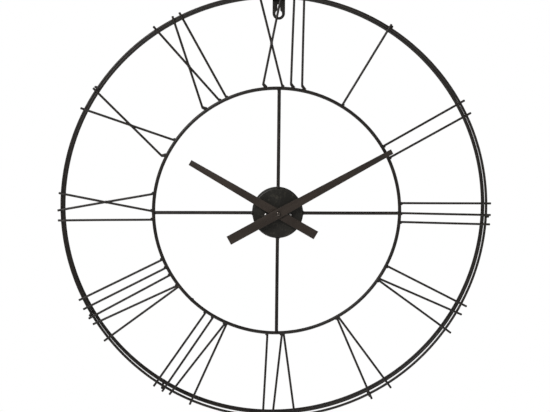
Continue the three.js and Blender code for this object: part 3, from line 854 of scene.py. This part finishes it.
wheel_nylon = plain_moulding("wheel_nylon", (0.80, 0.77, 0.68), (0.70, 0.66, 0.56), 0.35)
for node in ("centre_wheel", "hour_wheel", "setting_wheel", "third_wheel", "second_wheel",
             "step_wheel"):
    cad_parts[node].data.materials[0] = wheel_nylon
magnet_compound = plain_moulding("magnet_compound", (0.03, 0.03, 0.032), (0.015, 0.015, 0.016),
                                 0.45)
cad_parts["rotor"].data.materials[0] = magnet_compound

stator_steel, tree = new_finish("stator_steel")
rolled = tree.cloud(1, 3, at=tree.stretched((1400, 1400, 90)))
tree.surface(
    tree.blend(rolled, (0.46, 0.46, 0.45), (0.34, 0.34, 0.33)), Metallic=1.0,
    Roughness=0.3 + 0.2 * rolled, Normal=tree.bump(rolled, 0.00001, 0.4),
)
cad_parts["stator"].data.materials[0] = stator_steel

coil_wire, tree = new_finish("coil_wire")
turn_ridges_and_painted_shade = tree.node("ShaderNodeTexWave", {"bands_direction": "X"}, Vector=tree.place(),
                  Scale=1400, Distortion=0.4, output=1)
# the colour goes dark in the grooves between the turns and bright on their crests: painted shade
# and painted highlight laid over the real ridges of the bump
tree.surface(
    tree.blend(turn_ridges_and_painted_shade, (0.20, 0.05, 0.015), (0.62, 0.24, 0.09)), Metallic=0.6,
    Roughness=0.32 + 0.1 * turn_ridges_and_painted_shade, Normal=tree.bump(turn_ridges_and_painted_shade, 0.00008, 0.7),
)
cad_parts["coil"].data.materials[0] = coil_wire

board_lacquer, tree = new_finish("board_lacquer")
tracks = tree.node("ShaderNodeTexBrick", None, Vector=tree.place(), Scale=330, output=1,
                   Mortar_Size=0.03)
tree.surface(
    tree.blend(tracks, (0.02, 0.13, 0.04), (0.05, 0.24, 0.07)),
    Roughness=0.25 + 0.2 * tracks, Normal=tree.bump(tracks, 0.00003, 0.5),
)
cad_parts["circuit_board"].data.materials[0] = board_lacquer


# ---- Setting knob ----------------------------------------------------------------------------
# A ribbed wheel on the setting arbor behind the cover, turned with a thumb to set the hands.

knob_low, knob_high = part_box("setting_knob")
knob_x, knob_z = (knob_low.x + knob_high.x) / 2, (knob_low.z + knob_high.z) / 2
knob_radius = (knob_high.z - knob_low.z) / 2
KNOB_RIBS = 24
rim_line = []
for i in range(KNOB_RIBS * 6):
    turn = 2 * math.pi * i / (KNOB_RIBS * 6)
    radius = knob_radius - 0.00022 * (1 - math.cos(KNOB_RIBS * turn))
    rim_line.append((knob_x + radius * math.cos(turn), knob_z + radius * math.sin(turn)))
knob = lay_plate(
    "ribbed_knob", plate_mesh(rim_line, [], knob_low.y, knob_high.y, 0.0002, 2), case_plastic,
    "setting",
)
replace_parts(knob, "setting_knob")


# ---- Cell and contacts -----------------------------------------------------------------------
# One round cell lies across the bay in a plain grey sleeve. A coiled spring of plated wire meets
# its flat end and a folded strip meets the cap.

cell_low, cell_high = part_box("battery")
cell_y, cell_z = (cell_low.y + cell_high.y) / 2, (cell_low.z + cell_high.z) / 2
cell_radius = (cell_high.z - cell_low.z) / 2
CAP_LENGTH, CAP_RADIUS = 0.0013, 0.0026

cell_sleeve, tree = new_finish("cell_sleeve")
along = tree.node("ShaderNodeSeparateXYZ", None, tree.place(), output=0)
band = tree.step(along * 20 + 0.5, (0.74, 0.0), (0.745, 1.0))
scuff = tree.cloud(300, 4)
tree.surface(
    tree.blend(band, (0.07, 0.075, 0.08), (0.36, 0.37, 0.38)), Metallic=0.35,
    Roughness=0.28 + 0.2 * scuff, Normal=tree.bump(scuff, 0.00001, 0.3),
)
plated_steel, tree = new_finish("plated_steel")
wiped = tree.cloud(700, 3)
tree.surface(
    tree.blend(wiped, (0.62, 0.61, 0.58), (0.46, 0.45, 0.43)), Metallic=1.0,
    Roughness=0.2 + 0.2 * wiped, Normal=tree.bump(wiped, 0.00001, 0.4),
)


def turn_along_x(shell):
    """Lays a turned piece, made about Y at the origin, along X at the cell's place."""
    shell.points = [(p[1], cell_y + p[0], cell_z + p[2]) for p in shell.points]


ends = (cell_low.x, cell_high.x - CAP_LENGTH)
shell = Shell()
shell.lathe([
    (0, ends[0] + 0.0003), (cell_radius - 0.0014, ends[0] + 0.0003),
    (cell_radius - 0.0012, ends[0]), (cell_radius - 0.0005, ends[0]),
    (cell_radius - 0.0001, ends[0] + 0.0003), (cell_radius, ends[0] + 0.0008),
    (cell_radius, ends[1] - 0.0008), (cell_radius - 0.0001, ends[1] - 0.0003),
    (cell_radius - 0.0005, ends[1]), (cell_radius - 0.0012, ends[1]),
    (cell_radius - 0.0014, ends[1] - 0.0003), (0, ends[1] - 0.0003),
], 64)
turn_along_x(shell)
sleeve = shell.lay("cell_body", cell_sleeve, "cell")
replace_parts(sleeve, "battery")
shell = Shell()
shell.lathe([
    (0, ends[1] - 0.0003), (CAP_RADIUS + 0.0012, ends[1] - 0.0003),
    (CAP_RADIUS + 0.0002, ends[1] + 0.0001), (CAP_RADIUS, ends[1] + 0.0004),
    (CAP_RADIUS, cell_high.x - 0.0003), (CAP_RADIUS - 0.0003, cell_high.x), (0, cell_high.x),
], 40)
turn_along_x(shell)
shell.lay("cell_cap", plated_steel, "cell")

case_low, case_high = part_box("movement_case")
bay_left, bay_right = case_low.x + 0.0012, case_high.x - 0.0012
SPRING_TURNS = 3
shell = Shell()
line = []
for i in range(SPRING_TURNS * 20 + 1):
    share = i / (SPRING_TURNS * 20)
    turn = 2 * math.pi * SPRING_TURNS * share
    radius = 0.0048 - 0.0024 * share
    line.append(Vector((
        bay_left + 0.0004 + (ends[0] - bay_left - 0.0008) * share,
        cell_y + radius * math.cos(turn), cell_z + radius * math.sin(turn),
    )))
shell.tube(line, [0.00022] * len(line), sides=8)
shell.lay("contact_spring", plated_steel)
shell = Shell()
slab(shell, (bay_right - 0.0006, cell_y - 0.004, cell_z - 0.0045),
     (bay_right - 0.0003, cell_y + 0.006, cell_z + 0.0045))
slab(shell, (bay_right - 0.0016, cell_y - 0.0015, cell_z - 0.002),
     (bay_right - 0.0006, cell_y + 0.0015, cell_z + 0.002))
shell.lay("contact_strip", plated_steel, smooth=False)


# ---- Hands -----------------------------------------------------------------------------------
# Two tapered bars blanked from 1 mm sheet with heavy tails to balance them, their edges rounded
# and painted dark brown. A low collar stands round each spindle hole.

def hand_paint(name, angle):
    """Brown-black enamel in lighter and darker patches, with faint lighter streaks along the hand.
    """
    material, tree = new_finish(name)
    turned = (0, math.radians(-angle), 0)
    streak = tree.cloud(1, 4, at=tree.stretched((700, 700, 26), turned))
    patch = tree.cloud(24, 3)
    fine = tree.cloud(1800, 2)
    base = tree.blend(tree.step(patch, (0.3, 0.0), (0.7, 1.0)), (0.0135, 0.0078, 0.0056),
                      (0.0300, 0.0200, 0.0140))
    tree.surface(
        tree.blend(streak * 0.5, base, (0.034, 0.027, 0.020)),
        Roughness=0.34 + 0.2 * patch + 0.1 * streak, Specular_IOR_Level=0.38,
        Normal=tree.bump(fine * 0.6 + streak * 0.4, 0.00004, 0.5),
    )
    return material


def lay_hand(node, body, angle, length, tail, tip, width, bore, collar):
    low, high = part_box(node)
    front_y, back_y = low.y, high.y
    turn = Matrix.Rotation(math.radians(angle), 2)
    outline = [(-width / 2, -tail), (width / 2, -tail), (width / 2, 0), (tip / 2, length),
               (-tip / 2, length), (-width / 2, 0)]
    placed = [(turn.transposed() @ Vector(p)) for p in outline]
    placed = [(axis_x + p.x, axis_z + p.y) for p in placed]
    hole = arc(axis_x, axis_z, bore, 0, 360 - 360 / 40, 39)
    paint = hand_paint(node + "_enamel", angle)
    made = lay_plate(node + "_blade", plate_mesh(placed, [hole], front_y, back_y, 0.0003),
                     paint, body)
    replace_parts(made, node)
    shell = Shell()
    inner, outer, rise = collar
    shell.lathe([
        (inner, front_y + 0.00005), (inner, front_y - rise + 0.0001),
        (inner + 0.0001, front_y - rise), (outer - 0.0003, front_y - rise),
        (outer - 0.0001, front_y - rise + 0.0001), (outer, front_y + 0.00005),
        (inner, front_y + 0.00005),
    ], 64, (axis_x, 0, axis_z))
    shell.lay(node + "_collar", paint, body)


HOUR_ANGLE, MINUTE_ANGLE = 300, 61
HOUR_LENGTH, HOUR_TAIL, HOUR_TIP, HOUR_WIDTH = 0.178, 0.078, 0.010, 0.016
MINUTE_LENGTH, MINUTE_TAIL, MINUTE_TIP, MINUTE_WIDTH = 0.228, 0.099, 0.009, 0.0165
HOUR_BORE, MINUTE_BORE = 0.0029, 0.0018
# inner radius, outer radius and rise of the collar round each bore
HOUR_COLLAR = (HOUR_BORE, 0.0055, 0.0004)
MINUTE_COLLAR = (0.0044, 0.0062, 0.0005)
lay_hand("hour_hand", "hour", HOUR_ANGLE, HOUR_LENGTH, HOUR_TAIL, HOUR_TIP, HOUR_WIDTH,
         HOUR_BORE, HOUR_COLLAR)
lay_hand("minute_hand", "minute", MINUTE_ANGLE, MINUTE_LENGTH, MINUTE_TAIL, MINUTE_TIP,
         MINUTE_WIDTH, MINUTE_BORE, MINUTE_COLLAR)


# ---- Cap nut ---------------------------------------------------------------------------------
# A small domed nut closes the minute spindle. Its dome is polished through to the metal.

cap_low, cap_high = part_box("cap_nut")
cap_radius = (cap_high.x - cap_low.x) / 2
cap_enamel, tree = new_finish("cap_enamel")
swirl = tree.cloud(800, 3)
tree.surface(
    tree.blend(swirl, (0.05, 0.042, 0.036), (0.12, 0.10, 0.085)), Metallic=0.8,
    Roughness=0.20 + 0.15 * swirl, Normal=tree.bump(swirl, 0.00001, 0.4),
)
shell = Shell()
cap_profile = [(0, cap_low.y)]
skirt = (cap_high.y - cap_low.y) / 3
for i in range(1, 12):
    turn = math.radians(90 * i / 12)
    cap_profile.append((
        (cap_radius - 0.0006) * math.sin(turn),
        cap_high.y - skirt - (cap_high.y - skirt - cap_low.y) * math.cos(turn),
    ))
cap_profile += [
    (cap_radius - 0.0006, cap_high.y - skirt), (cap_radius - 0.0002, cap_high.y - skirt),
    (cap_radius, cap_high.y - skirt + 0.0002), (cap_radius, cap_high.y - 0.0002),
    (cap_radius - 0.0002, cap_high.y), (0.0018, cap_high.y), (0.0018, cap_low.y + 0.0012),
    (0, cap_low.y + 0.0012),
]
shell.lathe(cap_profile, 48, (axis_x, 0, axis_z))
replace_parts(shell.lay("domed_nut", cap_enamel, "minute"), "cap_nut")
